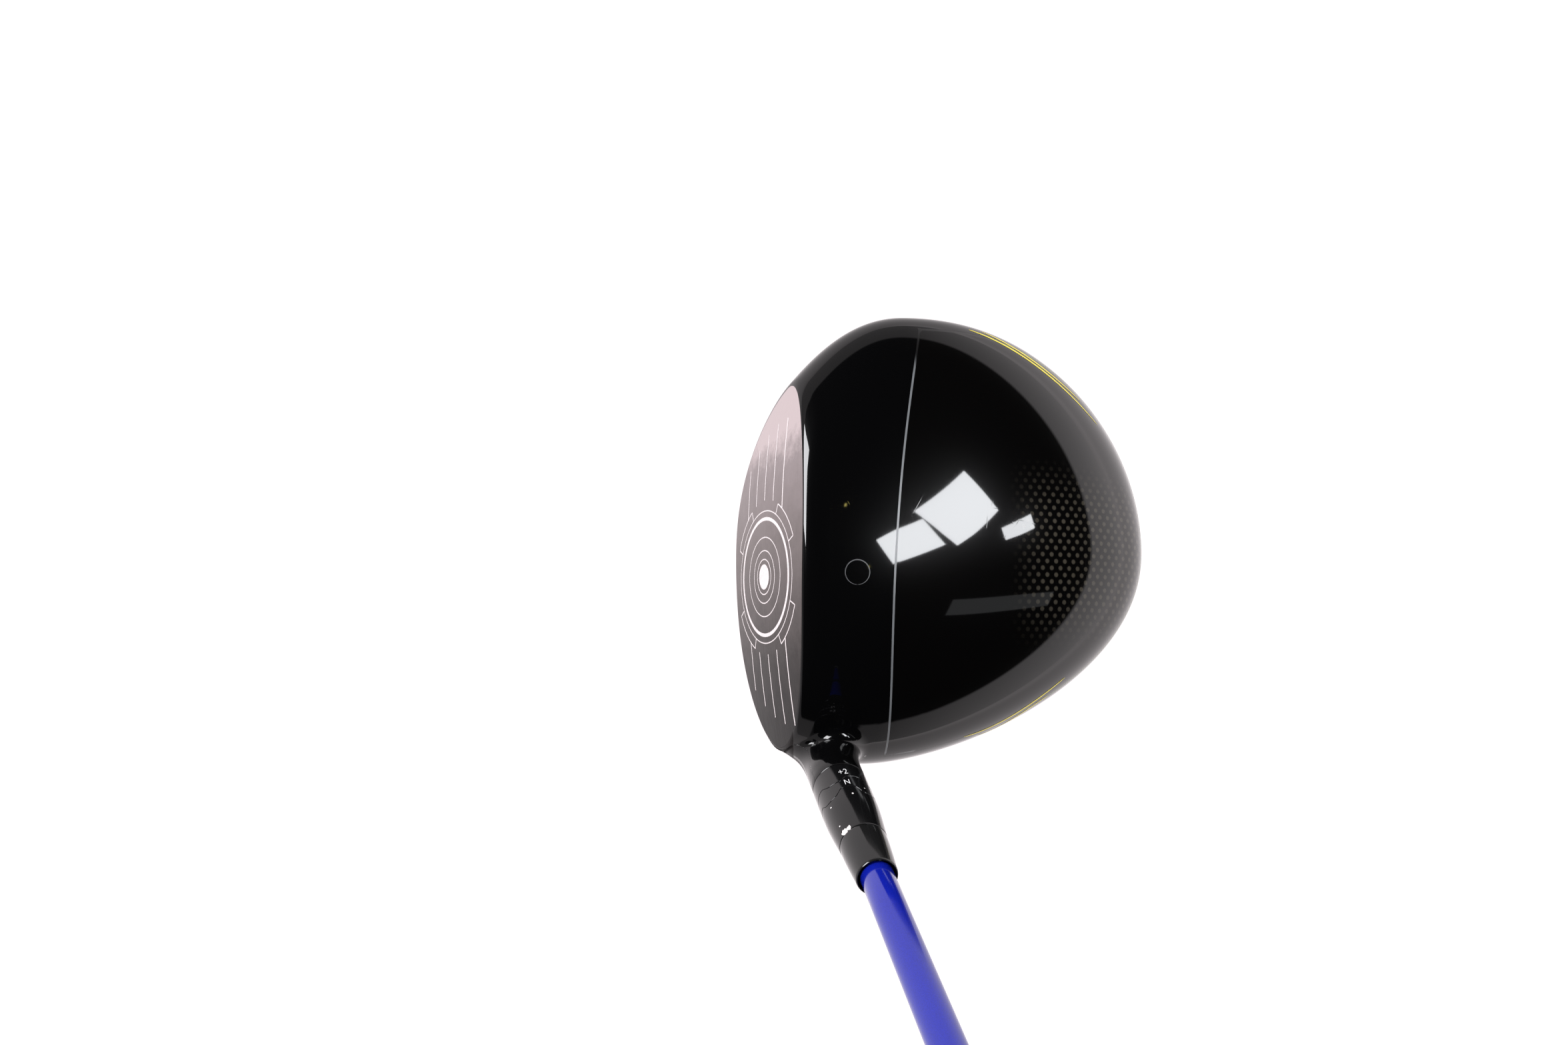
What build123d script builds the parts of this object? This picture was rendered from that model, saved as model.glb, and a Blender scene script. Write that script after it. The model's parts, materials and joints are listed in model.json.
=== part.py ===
from build123d import *
import math
import os

# Golf driver at address: +Z up, face to -Y, toe to -X, shaft rising to +X. Millimetres.
# The origin is on the ground under the sole, in line with the face centre.

# Head shell: a pebble made of upright sections across the head.
head_mid_x = -9.0
head_back_y = 81.7
nose_y = -62.0
toe_reach = 65.2
toe_wide_y = 7.0
heel_reach = 62.5
heel_wide_y = -7.0
crown_top = 59.2
sole_flat = 0.35
skirt_toe = 40.0
skirt_heel = 30.0
skirt_back = 24.5
skin = 1.3
ledge = 0.9

# Face: a shallow ball surface giving bulge and roll.
loft_deg = 11.0
face_radius = 305.0
face_y = -34.6
face_z = 31.0
face_thickness = 3.0

# Shaft line, distances measured up it from the ground.
lie_deg = 59.0
shaft_foot = (29.0, -18.9, 0.0)
hosel_top = 59.8
hosel_radius = 7.45
bore_radius = 5.6
port_top = 21.2
seat_low = 28.0
seat_high = 30.5
ring_joint = 67.2
ring_end = 72.2
sleeve_top = 88.5
ferrule_top = 103.7
sleeve_foot = 33.0
shaft_tip = 47.0
grip_mouth = 889.0
club_length = 1156.0
tip_radius = 4.4
butt_radius = 7.6
fit = 0.05

# Rear weight track: an arc round a vertical line, with its channel facing down and back.
track_centre = (-9.0, 22.0, 0.0)
track_radius = 50.0
track_z = 13.4
track_tilt = 30.0
track_span = 37.0
weight_span = 11.5
track_half = 6.9
track_depth = 10.2
lip_low = 4.6
lip_high = 6.3
slot_half = 2.7
weight_screw_radius = 2.0
weight_head_radius = 3.4

# Panels, bars and fasteners.
crown_margin = 3.6
crown_seam = [(-39, 2.2), (-12, -2.2), (14, -4.2), (36, -3.6)]
toe_panel = [(-24, -14), (-50, -12), (-62, 12), (-55, 36), (-40, 46), (-24, 46)]
heel_panel = [(8, -8), (24, -6), (36, 2), (36, 24), (22, 42), (8, 46)]
bar_x = 13.0
bar_y = -17.0
bar_radius = 2.6
ring_radius = 7.5
collar_radius = 6.4
shaft_socket = 4.3
screw_radius = 2.5
screw_head_radius = 4.7
port_radius = 5.6
pocket_radius = 5.0
vent_radius = 2.0

os.makedirs("parts", exist_ok=True)


def save(shape, name):
    export_step(shape, f"parts/{name}.step")


def bulge(t, p, q):
    return (1 - min(abs(t), 1) ** p) ** (1 / q)


def section(y, inset):
    if y > toe_wide_y:
        toe = toe_reach * bulge((y - toe_wide_y) / (head_back_y - toe_wide_y), 2.28, 2.0)
    else:
        toe = toe_reach * bulge((toe_wide_y - y) / (toe_wide_y - nose_y), 2.14, 0.71)
    if y > heel_wide_y:
        heel = heel_reach * bulge((y - heel_wide_y) / (head_back_y - heel_wide_y), 1.52, 2.08)
    else:
        heel = heel_reach * bulge((heel_wide_y - y) / (heel_wide_y - nose_y), 2.4, 2.0)
    if y > -2:
        crown = bulge((y + 2) / (head_back_y + 2), 2.1, 1.9)
    else:
        crown = bulge((y + 2) / (nose_y + 2), 2.2, 2.0)
    if y > 2:
        sole = bulge((y - 2) / (head_back_y - 2), 2.4, 1.6)
    else:
        sole = bulge((y - 2) / (nose_y - 2), 2.2, 2.0)
    back = min(max((y - toe_wide_y) / (head_back_y - toe_wide_y), 0), 1)
    back = back * back * (3 - 2 * back)
    toe_skirt = skirt_toe + (skirt_back - skirt_toe) * back
    heel_skirt = skirt_heel + (skirt_back - skirt_heel) * back
    points = []
    for i in range(24):
        a = math.radians(15 * i + 7.5)
        power = 2 / 1.95 if math.sin(a) > 0 else 2 / 2.4
        across = math.copysign(abs(math.cos(a)) ** power, math.cos(a))
        up = abs(math.sin(a)) ** (1.0 if math.sin(a) > 0 else 2 / 1.9)
        reach = heel if across > 0 else toe
        skirt = toe_skirt + (heel_skirt - toe_skirt) * (across + 1) / 2
        if math.sin(a) > 0:
            z = skirt + ((crown_top - skirt) * crown - inset) * up
        else:
            z = skirt - (skirt * sole - inset) * up
        points.append((head_mid_x + across * (reach - inset), y, z - sole_flat))
    return points


def pebble(inset):
    length = head_back_y - nose_y
    outlines = []
    for i in range(1, 12):
        y = head_back_y - inset - length / 2 * (1 - math.cos(math.radians(12 * i)))
        shift = inset if y > 40 else 0
        outlines.append(make_face(Spline(*section(y + shift, inset), periodic=True)))
    tip = Vertex(head_mid_x, head_back_y - inset, skirt_back - sole_flat)
    return loft([tip] + outlines)


def on_shaft(shape):
    return Plane(origin=shaft_foot, x_dir=(0, 1, 0), z_dir=shaft_line) * shape


def turned(points):
    return on_shaft(revolve(make_face(Plane.XZ * Polyline(*points, close=True)), Axis.Z))


def rod(radius, low, high):
    return on_shaft(Pos(0, 0, (low + high) / 2) * Cylinder(radius, high - low))


def sleeve(inner, outer, low, high):
    return rod(outer, low, high) - rod(inner, low, high)


def panel_block(points, low, high):
    return extrude(Plane.XY.offset(low) * make_face(points), high - low)


def track_point(across, depth):
    a = math.radians(track_tilt)
    r = track_radius + across * math.cos(a) - depth * math.sin(a)
    return (r, track_z + across * math.sin(a) + depth * math.cos(a))


def track_bar(half_width, low, high, half_span):
    corners = [
        track_point(-half_width, low),
        track_point(half_width, low),
        track_point(half_width, high),
        track_point(-half_width, high),
    ]
    face = make_face(Plane.XZ * Polyline(*corners, close=True))
    bar = revolve(face, Axis.Z, revolution_arc=2 * half_span)
    return Pos(*track_centre) * Rot(0, 0, 90 - half_span) * bar


def at_weight(shape):
    r, z = track_point(0, 0)
    a = math.radians(track_tilt)
    spot = (track_centre[0], track_centre[1] + r, z)
    inward = (0, -math.sin(a), math.cos(a))
    return Plane(origin=spot, x_dir=(1, 0, 0), z_dir=inward) * shape


def shaft_radius(s):
    return tip_radius + (butt_radius - tip_radius) * min(max((s - 120) / 900, 0), 1)


# Shaft direction and the ball that the face surface lies on.
lie = math.radians(lie_deg)
shaft_line = (math.cos(lie), 0, math.sin(lie))
loft_angle = math.radians(loft_deg)
ball_y = face_y + face_radius * math.cos(loft_angle)
ball_z = face_z - face_radius * math.sin(loft_angle)
face_ball = Pos(0, ball_y, ball_z) * Sphere(face_radius)
back_ball = Pos(0, ball_y, ball_z) * Sphere(face_radius - face_thickness)
ground = Pos(0, 20, -10) * Box(300, 300, 20)

# Outer head form, and the two inner forms that set skin and ledge thickness.
outer = pebble(0) & face_ball
outer = outer - ground
behind_face = outer & back_ball
under_skin = pebble(skin)
under_ledge = pebble(skin + ledge)

# Forged face, one curved plate closing the front of the head.
save(outer - back_ball, "face_plate")


def crown_outline(grow):
    mid_y = 30
    left = []
    right = []
    for i in range(9):
        y = 8 + 8.75 * i
        across = [p[0] for p in section(y, 0)]
        left.append((min(across), y))
        right.append((max(across), y))
    edge = []
    for x, y in left + [(head_mid_x, head_back_y)] + right[::-1]:
        reach = math.hypot(x - head_mid_x, y - mid_y)
        pull = 1 + (grow - crown_margin) / reach
        edge.append((head_mid_x + (x - head_mid_x) * pull, mid_y + (y - mid_y) * pull))
    front = [(x, y - grow) for x, y in crown_seam]
    return [Spline(edge[0], *front, edge[-1]), Spline(*edge)]


def sole_outline(points, grow):
    loop = make_face(Polyline(*points, close=True))
    loop = fillet(loop.vertices(), 7)
    return offset(loop, grow)


# Crown panel, a moulded sheet bonded on a ledge just inside the head's widest line.
crown_sheet = outer - under_skin
crown_cut = panel_block(crown_outline(0), 29, 80)
save(crown_sheet & crown_cut, "crown_panel")

# Two sole panels, bonded on ledges either side of the middle of the sole.
toe_cut = extrude(Plane.XY.offset(-5) * sole_outline(toe_panel, 0), 32)
heel_cut = extrude(Plane.XY.offset(-5) * sole_outline(heel_panel, 0), 32)
save(crown_sheet & toe_cut, "sole_panel_toe")
save(crown_sheet & heel_cut, "sole_panel_heel")

# Ledge strips under the edges of the three panels.
crown_strip = panel_block(crown_outline(2), 28, 80) - panel_block(crown_outline(-5), 27, 81)
toe_strip = extrude(Plane.XY.offset(-5) * sole_outline(toe_panel, 2), 32)
toe_strip = toe_strip - extrude(Plane.XY.offset(-6) * sole_outline(toe_panel, -4), 34)
heel_strip = extrude(Plane.XY.offset(-5) * sole_outline(heel_panel, 2), 32)
heel_strip = heel_strip - extrude(Plane.XY.offset(-6) * sole_outline(heel_panel, -4), 34)

# Cast head frame: skirt, sole middle, hosel with its bell, screw seat and the track pocket.
frame = behind_face - under_ledge
frame = frame - (under_skin - crown_strip - toe_strip - heel_strip)
for cut in (crown_cut, toe_cut, heel_cut):
    frame = frame - (cut - under_skin)
hosel = [(0, hosel_top), (hosel_radius, hosel_top), (hosel_radius, hosel_top - 5)]
for i in range(1, 9):
    a = math.radians(6 * i)
    hosel.append((hosel_radius + 22 * (1 - math.cos(a)), hosel_top - 5 - 22 * math.sin(a)))
hosel = hosel + [(hosel_radius, 30), (0, 30)]
hosel_tube = rod(hosel_radius, 2, 44) & outer
frame = frame + (turned(hosel) & back_ball) + hosel_tube
pocket_wall = track_bar(track_half + 1.1, -8, track_depth + 1.1, track_span + 1.3) & outer
frame = frame + pocket_wall
frame = frame - track_bar(track_half + fit, -12, track_depth + fit, track_span + 0.1)
frame = frame - rod(bore_radius, seat_high, hosel_top + 1)
frame = frame - rod(port_radius, -5, port_top)
frame = frame - rod(pocket_radius, port_top - 1, seat_low)
frame = frame - rod(screw_radius + 0.3, seat_low - 1, seat_high + 1)
save(frame, "head_frame")

# Two brace bars joining sole and crown close behind the face.
for name, x in (("brace_bar_toe", -bar_x), ("brace_bar_heel", bar_x)):
    bar = Pos(x, bar_y, 30) * Cylinder(bar_radius, 80)
    save(bar & under_skin, name)

# Rear track: an arched T-slot rail pressed into its pocket.
rail = track_bar(track_half, -8, track_depth, track_span) & outer
rail = rail - track_bar(track_half - 1.1, -12, lip_low, track_span - 1)
rail = rail - track_bar(slot_half, lip_low - 1, lip_high + 1, track_span - 1)
rail = rail - track_bar(track_half - 2, lip_high, track_depth - 1, track_span - 1)
save(rail, "weight_track")

# Sliding weight with a counterbored screw hole.
weight = track_bar(track_half - 1.5, 0.3, lip_low - 0.15, weight_span)
weight = weight - at_weight(Cylinder(weight_screw_radius + 0.3, 20))
weight = weight - at_weight(Pos(0, 0, -3.6) * Cylinder(weight_head_radius + 0.3, 12))
save(weight, "sliding_weight")

# Clamp plate behind the track lips, tapped for the weight screw.
plate = track_bar(track_half - 2.4, lip_high + 0.15, lip_high + 2.2, 5.5)
plate = plate - at_weight(Cylinder(weight_screw_radius + fit, 30))
save(plate, "weight_clamp")

# Weight screw, flat head with a six-lobed socket.
screw = at_weight(Pos(0, 0, 5.1) * Cylinder(weight_screw_radius, 5.4))
screw = screw + at_weight(Pos(0, 0, 1.5) * Cylinder(weight_head_radius, 1.8))
socket = Pos(0, 0, 0.6) * Cylinder(1.25, 2.2)
for i in range(6):
    a = math.radians(60 * i)
    socket = socket + Pos(1.2 * math.cos(a), 1.2 * math.sin(a), 0.6) * Cylinder(0.42, 2.2)
save(screw - at_weight(socket), "weight_screw")

# Two adjustment rings between hosel and sleeve, the lower for loft and the upper for lie.
save(sleeve(bore_radius, ring_radius, hosel_top + fit, ring_joint - fit / 2), "loft_ring")
save(sleeve(bore_radius, ring_radius, ring_joint + fit / 2, ring_end - fit), "lie_ring")

# Adapter sleeve: a pin in the hosel, a tapering collar and a socket for the shaft tip.
body = [
    (screw_radius + fit, sleeve_foot),
    (bore_radius - fit, sleeve_foot),
    (bore_radius - fit, ring_end),
    (ring_radius, ring_end),
    (collar_radius, sleeve_top),
    (shaft_socket, sleeve_top),
    (shaft_socket, shaft_tip - 1),
    (screw_radius + fit, shaft_tip - 2),
]
save(turned(body), "adapter_sleeve")

# Hosel screw with washer, and the clip that keeps it in the head.
head_foot = port_top + 0.4
bolt = rod(screw_radius, seat_low - 2, shaft_tip - 5) + rod(screw_head_radius, head_foot, head_foot + 5)
socket = rod(1.9, head_foot - 1, head_foot + 3)
for i in range(6):
    a = math.radians(60 * i)
    socket = socket + on_shaft(Pos(1.8 * math.cos(a), 1.8 * math.sin(a), head_foot + 1) * Cylinder(0.6, 4))
save(bolt - socket, "hosel_screw")
save(sleeve(screw_radius + 0.25, screw_head_radius, head_foot + 5.05, seat_low - 0.05), "screw_washer")
save(sleeve(screw_radius, bore_radius - 1, seat_high + 0.3, seat_high + 1.5), "screw_clip")

# Ferrule: a turned plastic collar, hollowed round the shaft at its upper end.
collar = [
    (tip_radius, sleeve_top),
    (collar_radius, sleeve_top),
    (collar_radius - 0.25, sleeve_top + 5),
    (collar_radius - 0.55, sleeve_top + 10),
    (collar_radius - 0.9, ferrule_top),
    (tip_radius + 0.6, ferrule_top),
    (tip_radius + 0.6, ferrule_top - 2.5),
    (tip_radius, ferrule_top - 3),
]
save(turned(collar), "ferrule")

# Shaft: a tapering tube, thicker walled at the tip.
shaft_end = club_length - 3
tube = [
    (2.2, shaft_tip),
    (shaft_socket - fit, shaft_tip),
    (shaft_socket - fit, sleeve_top),
    (tip_radius - 0.02, sleeve_top),
    (tip_radius - 0.02, 120),
    (butt_radius, 1020),
    (butt_radius, shaft_end),
    (butt_radius - 1.1, shaft_end),
    (butt_radius - 1.1, 1020),
]
save(turned(tube), "shaft")

# Grip tape wrapped round the butt under the grip.
wrap_start = grip_mouth + 4
wrap = [
    (shaft_radius(wrap_start) + 0.01, wrap_start),
    (shaft_radius(wrap_start) + 0.21, wrap_start),
    (butt_radius + 0.21, 1020),
    (butt_radius + 0.21, shaft_end),
    (butt_radius + 0.01, shaft_end),
    (butt_radius + 0.01, 1020),
]
save(turned(wrap), "grip_tape")

# Rubber grip with a closed, vented cap.
handle = [
    (shaft_radius(grip_mouth) + 0.25, grip_mouth),
    (shaft_radius(grip_mouth) + 1.8, grip_mouth),
    (shaft_radius(grip_mouth) + 2.4, grip_mouth + 1.2),
    (11.0, 980),
    (12.1, 1060),
    (12.9, 1130),
    (13.2, 1146),
    (14.2, 1151),
    (14.2, 1154),
    (13.0, club_length),
    (vent_radius, club_length),
    (vent_radius, shaft_end + 0.1),
    (butt_radius + 0.25, shaft_end + 0.1),
    (butt_radius + 0.25, 1020),
]
save(turned(handle), "grip")
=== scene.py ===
import bpy
import bmesh
import json
import math
import numpy as np
from mathutils import Matrix, Vector


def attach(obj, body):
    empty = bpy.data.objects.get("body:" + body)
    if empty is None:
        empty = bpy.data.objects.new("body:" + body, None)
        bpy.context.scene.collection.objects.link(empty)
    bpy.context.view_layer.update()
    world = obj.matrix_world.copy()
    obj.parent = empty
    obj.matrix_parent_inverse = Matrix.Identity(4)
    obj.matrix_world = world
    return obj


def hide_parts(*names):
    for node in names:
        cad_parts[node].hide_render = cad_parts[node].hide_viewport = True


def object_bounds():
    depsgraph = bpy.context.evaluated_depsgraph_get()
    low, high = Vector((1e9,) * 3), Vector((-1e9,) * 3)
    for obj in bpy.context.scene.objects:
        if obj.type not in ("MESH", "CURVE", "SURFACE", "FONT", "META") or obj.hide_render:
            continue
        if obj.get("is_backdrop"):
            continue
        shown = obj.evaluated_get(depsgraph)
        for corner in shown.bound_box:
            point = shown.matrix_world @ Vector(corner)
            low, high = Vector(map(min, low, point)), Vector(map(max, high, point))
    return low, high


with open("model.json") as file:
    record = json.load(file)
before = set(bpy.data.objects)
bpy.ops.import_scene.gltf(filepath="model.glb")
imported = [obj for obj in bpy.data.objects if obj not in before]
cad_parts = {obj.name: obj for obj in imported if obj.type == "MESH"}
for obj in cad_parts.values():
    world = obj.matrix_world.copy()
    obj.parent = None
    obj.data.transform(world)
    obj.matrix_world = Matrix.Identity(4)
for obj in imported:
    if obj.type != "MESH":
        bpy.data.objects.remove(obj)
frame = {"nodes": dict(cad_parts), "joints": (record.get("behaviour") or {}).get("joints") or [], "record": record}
cad_low, cad_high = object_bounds()


# Head shell: the thin hollow form that the cast frame, the crown panel and the sole panels share.
# Upright sections run from the face to the back. Toe and heel sides have their own curves, and the
# widest line, the skirt, falls from the toe and heel to the back.
mm = 0.001
head_mid_x, head_back_y, nose_y = -9.0, 81.7, -62.0
skirt_toe, skirt_heel, skirt_back = 40.0, 30.0, 24.5
crown_top, sole_drop = 59.2, 0.35
toe_reach, toe_widest_y = 65.2, 7.0
heel_reach, heel_widest_y = 62.5, -7.0
crown_peak_y, sole_low_y, skirt_fall_y = -2.0, 2.0, 7.0


def swell(t, p, q, soft=0.0):
    t = np.clip(np.abs(t), 0, 1)
    if soft:
        curve = ((t * t + soft ** 2) ** (p / 2) - soft ** p) / ((1 + soft ** 2) ** (p / 2) - soft ** p)
    else:
        curve = t ** p
    return np.maximum(1 - curve, 0) ** (1 / q)


def reaches(y):
    toe_back = swell((y - toe_widest_y) / (head_back_y - toe_widest_y), 2.28, 2.0)
    toe_front = swell((toe_widest_y - y) / (toe_widest_y - nose_y), 2.14, 0.71)
    heel_back = swell((y - heel_widest_y) / (head_back_y - heel_widest_y), 1.52, 2.08, 0.1)
    heel_front = swell((heel_widest_y - y) / (heel_widest_y - nose_y), 2.4, 2.0)
    toe = toe_reach * np.where(y > toe_widest_y, toe_back, toe_front)
    heel = heel_reach * np.where(y > heel_widest_y, heel_back, heel_front)
    return toe, heel


def shell(y, a):
    y, a = np.broadcast_arrays(np.asarray(y, float), np.asarray(a, float))
    toe, heel = reaches(y)
    crown_back = swell((y - crown_peak_y) / (head_back_y - crown_peak_y), 2.1, 1.9)
    crown_front = swell((y - crown_peak_y) / (nose_y - crown_peak_y), 2.2, 2.0)
    crown = np.where(y > crown_peak_y, crown_back, crown_front)
    sole_back = swell((y - sole_low_y) / (head_back_y - sole_low_y), 2.4, 1.6)
    sole_front = swell((y - sole_low_y) / (nose_y - sole_low_y), 2.2, 2.0)
    sole = np.where(y > sole_low_y, sole_back, sole_front)
    c, s = np.cos(a), np.sin(a)
    above = s >= 0
    across = np.sign(c) * np.abs(c) ** np.where(above, 1.0, 2 / 2.4)
    skirt = skirt_height(across, y)
    x = head_mid_x + across * np.where(across > 0, heel, toe)
    top = skirt + (crown_top - skirt) * crown * np.abs(s)
    bottom = skirt - skirt * sole * np.abs(s) ** (2 / 1.9)
    z = np.where(above, top, np.maximum(bottom, sole_drop)) - sole_drop
    return np.stack([x, y, z], -1)


def skirt_height(across, y):
    back = np.clip((y - skirt_fall_y) / (head_back_y - skirt_fall_y), 0, 1)
    back = back * back * (3 - 2 * back)
    toe_side = skirt_toe + (skirt_back - skirt_toe) * back
    heel_side = skirt_heel + (skirt_back - skirt_heel) * back
    return toe_side + (heel_side - toe_side) * (across + 1) / 2


# Face surface: the outside of the forged plate and the front rim of the frame both follow one shallow
# ball, which gives the face its bulge and roll. Its centre is 31 mm up, at 11 degrees of loft.
face_radius, face_loft = 305.0, math.radians(11)
face_centre = np.array([0.0, -34.6, 31.0])
face_out = np.array([0.0, -math.cos(face_loft), math.sin(face_loft)])
face_ball = face_centre - face_radius * face_out


def onto_face(points):
    away = points - face_ball
    return face_ball + away / np.linalg.norm(away, axis=-1, keepdims=True) * face_radius


def unit(v):
    return v / np.maximum(np.linalg.norm(v, axis=-1, keepdims=True), 1e-9)


# Cast head frame: front band behind the face, skirt, middle of the sole and the hosel, in one casting,
# painted gloss black. The hosel grows out of the heel in one smooth fillet and is bored for the sleeve.
columns, rows, edge_round = 432, 150, 1.1
turn = np.arange(columns) * 2 * math.pi / columns
record = frame["record"]
vent = next(m for m in record["mounts"] if m["name"] == "grip_vent_hole")
shaft_line = np.array(vent["axis"])
shaft_foot = np.array(vent["pos_m"]) / mm
shaft_foot = shaft_foot - shaft_line * shaft_foot[2] / shaft_line[2]
side_y = np.array([0.0, 1.0, 0.0])
side_up = np.cross(shaft_line, side_y)
hosel_radius, hosel_top, bore_radius, screw_hole_radius = 7.45, 59.8, 5.6, 2.9


def on_line(s, radius=0.0, angle=0.0):
    s, radius, angle = (np.asarray(v, float)[..., None] for v in (s, radius, angle))
    return shaft_foot + shaft_line * s + radius * (np.cos(angle) * side_y + np.sin(angle) * side_up)


def along_line(points):
    return (points - shaft_foot) @ shaft_line


def from_line(points):
    out = points - shaft_foot - along_line(points)[..., None] * shaft_line
    return np.linalg.norm(out, axis=-1), np.arctan2(out @ side_up, out @ side_y)


low, high = np.full(columns, -60.0), np.zeros(columns)
for _ in range(40):
    middle = (low + high) / 2
    outside = np.linalg.norm(shell(middle, turn) - face_ball, axis=-1) > face_radius
    low, high = np.where(outside, middle, low), np.where(outside, high, middle)
edge_y = (low + high) / 2
edge = shell(edge_y, turn)
edge_back = unit(shell(edge_y + 0.5, turn) - edge)
edge_in = unit(onto_face(edge + 0.5 * unit(face_centre - edge)) - edge)
broad = np.clip(np.sin(turn) * 1.6 - 0.1, 0, 1) * np.clip((np.degrees(turn) - 45) / 30, 0, 1)
front_round, back_round = edge_round + 0.6 * broad, edge_round + 6.2 * broad


def edge_curve(t):
    a, b = edge + front_round[:, None] * edge_in, edge + back_round[:, None] * edge_back
    return (1 - t) ** 2 * a + 2 * t * (1 - t) * edge + t ** 2 * b


start_y = edge_y + back_round * edge_back[:, 1]
steps = np.sin(np.linspace(0, math.pi / 2, rows + 1))[:-1]
shell_rows = [edge_curve(t) for t in (0.1, 0.16, 0.22, 0.28, 0.34, 0.4, 0.5, 0.6, 0.72, 0.86)]
band_rows = len(shell_rows)
for k in steps:
    shell_rows.append(shell(start_y + (head_back_y - start_y) * k, turn))
points = np.concatenate(shell_rows + [shell(head_back_y - 1e-4, 0.0)[None]])
points[-1] = (head_mid_x, head_back_y, skirt_back - sole_drop)

# the window in the shell that the hosel's fillet fills
sweep_first, sweep_last = band_rows, band_rows + 30
highest = round(50 / 360 * columns)
lowest = -highest


def in_window(i, j):
    j = (j + columns // 2) % columns - columns // 2
    return sweep_first <= i < sweep_last and lowest <= j < highest


faces = []
for i in range(len(shell_rows) - 1):
    for j in range(columns):
        if not in_window(i, j):
            k = (j + 1) % columns
            faces.append((i * columns + j, (i + 1) * columns + j, (i + 1) * columns + k, i * columns + k))
last = (len(shell_rows) - 1) * columns
faces += [(last + j, len(points) - 1, last + (j + 1) % columns) for j in range(columns)]

window = [(i, lowest) for i in range(sweep_first, sweep_last)]
window += [(sweep_last, j) for j in range(lowest, highest)]
window += [(i, highest) for i in range(sweep_last, sweep_first, -1)]
window += [(sweep_first, j) for j in range(highest, lowest, -1)]
rim = np.array([i * columns + j % columns for i, j in window])
foot_points = points[rim]
window_y = np.array([shell_rows[i][j % columns, 1] for i, j in window])
window_turn = np.array([j for i, j in window]) * 2 * math.pi / columns
angle = from_line(foot_points)[1]


def shell_turn(p):
    toe, heel = reaches(p[..., 1])
    out = p[..., 0] - head_mid_x
    across = np.clip(np.abs(out) / np.maximum(np.where(out > 0, heel, toe), 0.01), 0, 1)
    skirt = skirt_height(np.sign(out) * across, p[..., 1]) - sole_drop
    lean_over = np.arccos(np.where(p[..., 2] > skirt, across, across ** 1.2))
    lean_over = np.where(out > 0, lean_over, math.pi - lean_over)
    return np.where(p[..., 2] > skirt, lean_over, -lean_over), across < 1, p[..., 2] > skirt


# where a fillet of changing reach round the neck first touches the shell
fillet_reach = 8.3 + 4.4 * np.maximum(np.cos(angle - math.radians(50)), 0)
fillet_reach = fillet_reach + 3.6 * np.maximum(np.cos(angle + math.radians(140)), 0)
climb = np.linspace(64, 14, 1200)
trial = on_line(climb[:, None] + 0 * angle, fillet_reach + 0 * climb[:, None], angle + 0 * climb[:, None])
trial_turn, within, over = shell_turn(trial)
surface_z = shell(trial[..., 1], trial_turn)[..., 2]
inside = within & np.where(over, trial[..., 2] < surface_z, trial[..., 2] > surface_z)
first = inside.argmax(axis=0)
touch_y = trial[first, np.arange(len(rim)), 1]
touch_turn = trial_turn[first, np.arange(len(rim))]
touch_y = np.clip(touch_y, window_y[np.argmin(window_y)] + 0.2, window_y.max() - 1.0)
sweep = []
for t in np.linspace(0, 1, 13)[1:]:
    sweep.append(shell(window_y + (touch_y - window_y) * t, window_turn + (touch_turn - window_turn) * t))
touch = sweep[-1]
normals = unit(np.cross(shell(touch_y + 0.1, touch_turn) - shell(touch_y - 0.1, touch_turn),
                        shell(touch_y, touch_turn + 0.002) - shell(touch_y, touch_turn - 0.002)))
radius, angle = from_line(touch)
top_s = np.minimum(along_line(touch) + 9 + 12 * np.maximum(-np.cos(angle), 0), 55)
top_points = on_line(top_s, np.full(len(rim), hosel_radius), angle)
reach = np.linalg.norm(top_points - touch, axis=-1)
lean = on_line(np.full(len(rim), 60.0)) - touch
lean = unit(lean - (lean * normals).sum(-1)[:, None] * normals)
b1 = touch + lean * (0.45 * reach)[:, None]
b2 = top_points - shaft_line * (0.45 * reach)[:, None]
for t in np.linspace(0, 1, 17)[1:]:
    low_part = (1 - t) ** 3 * touch + 3 * t * (1 - t) ** 2 * b1
    sweep.append(low_part + 3 * t * t * (1 - t) * b2 + t ** 3 * top_points)
hosel_profile = [(57, hosel_radius), (59.3, hosel_radius), (59.6, hosel_radius - 0.08),
                 (hosel_top, hosel_radius - 0.3), (hosel_top, bore_radius + 0.25), (59.5, bore_radius),
                 (45, bore_radius), (30.6, bore_radius), (30.5, screw_hole_radius)]
for s, r in hosel_profile:
    sweep.append(on_line(np.full(len(rim), s), np.full(len(rim), r), angle))
base = len(points)
points = np.concatenate([points] + sweep)
rings = [rim.tolist()]
for k in range(len(sweep)):
    rings.append(list(range(base + k * len(rim), base + (k + 1) * len(rim))))
for lower, upper in zip(rings, rings[1:]):
    for k in range(len(rim)):
        n = (k + 1) % len(rim)
        faces.append((lower[k], lower[n], upper[n], upper[k]))

head_mesh = bmesh.new()
for p in points:
    head_mesh.verts.new(p)
head_mesh.verts.ensure_lookup_table()
for f in faces:
    head_mesh.faces.new([head_mesh.verts[k] for k in f])
head_mesh.normal_update()


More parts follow.
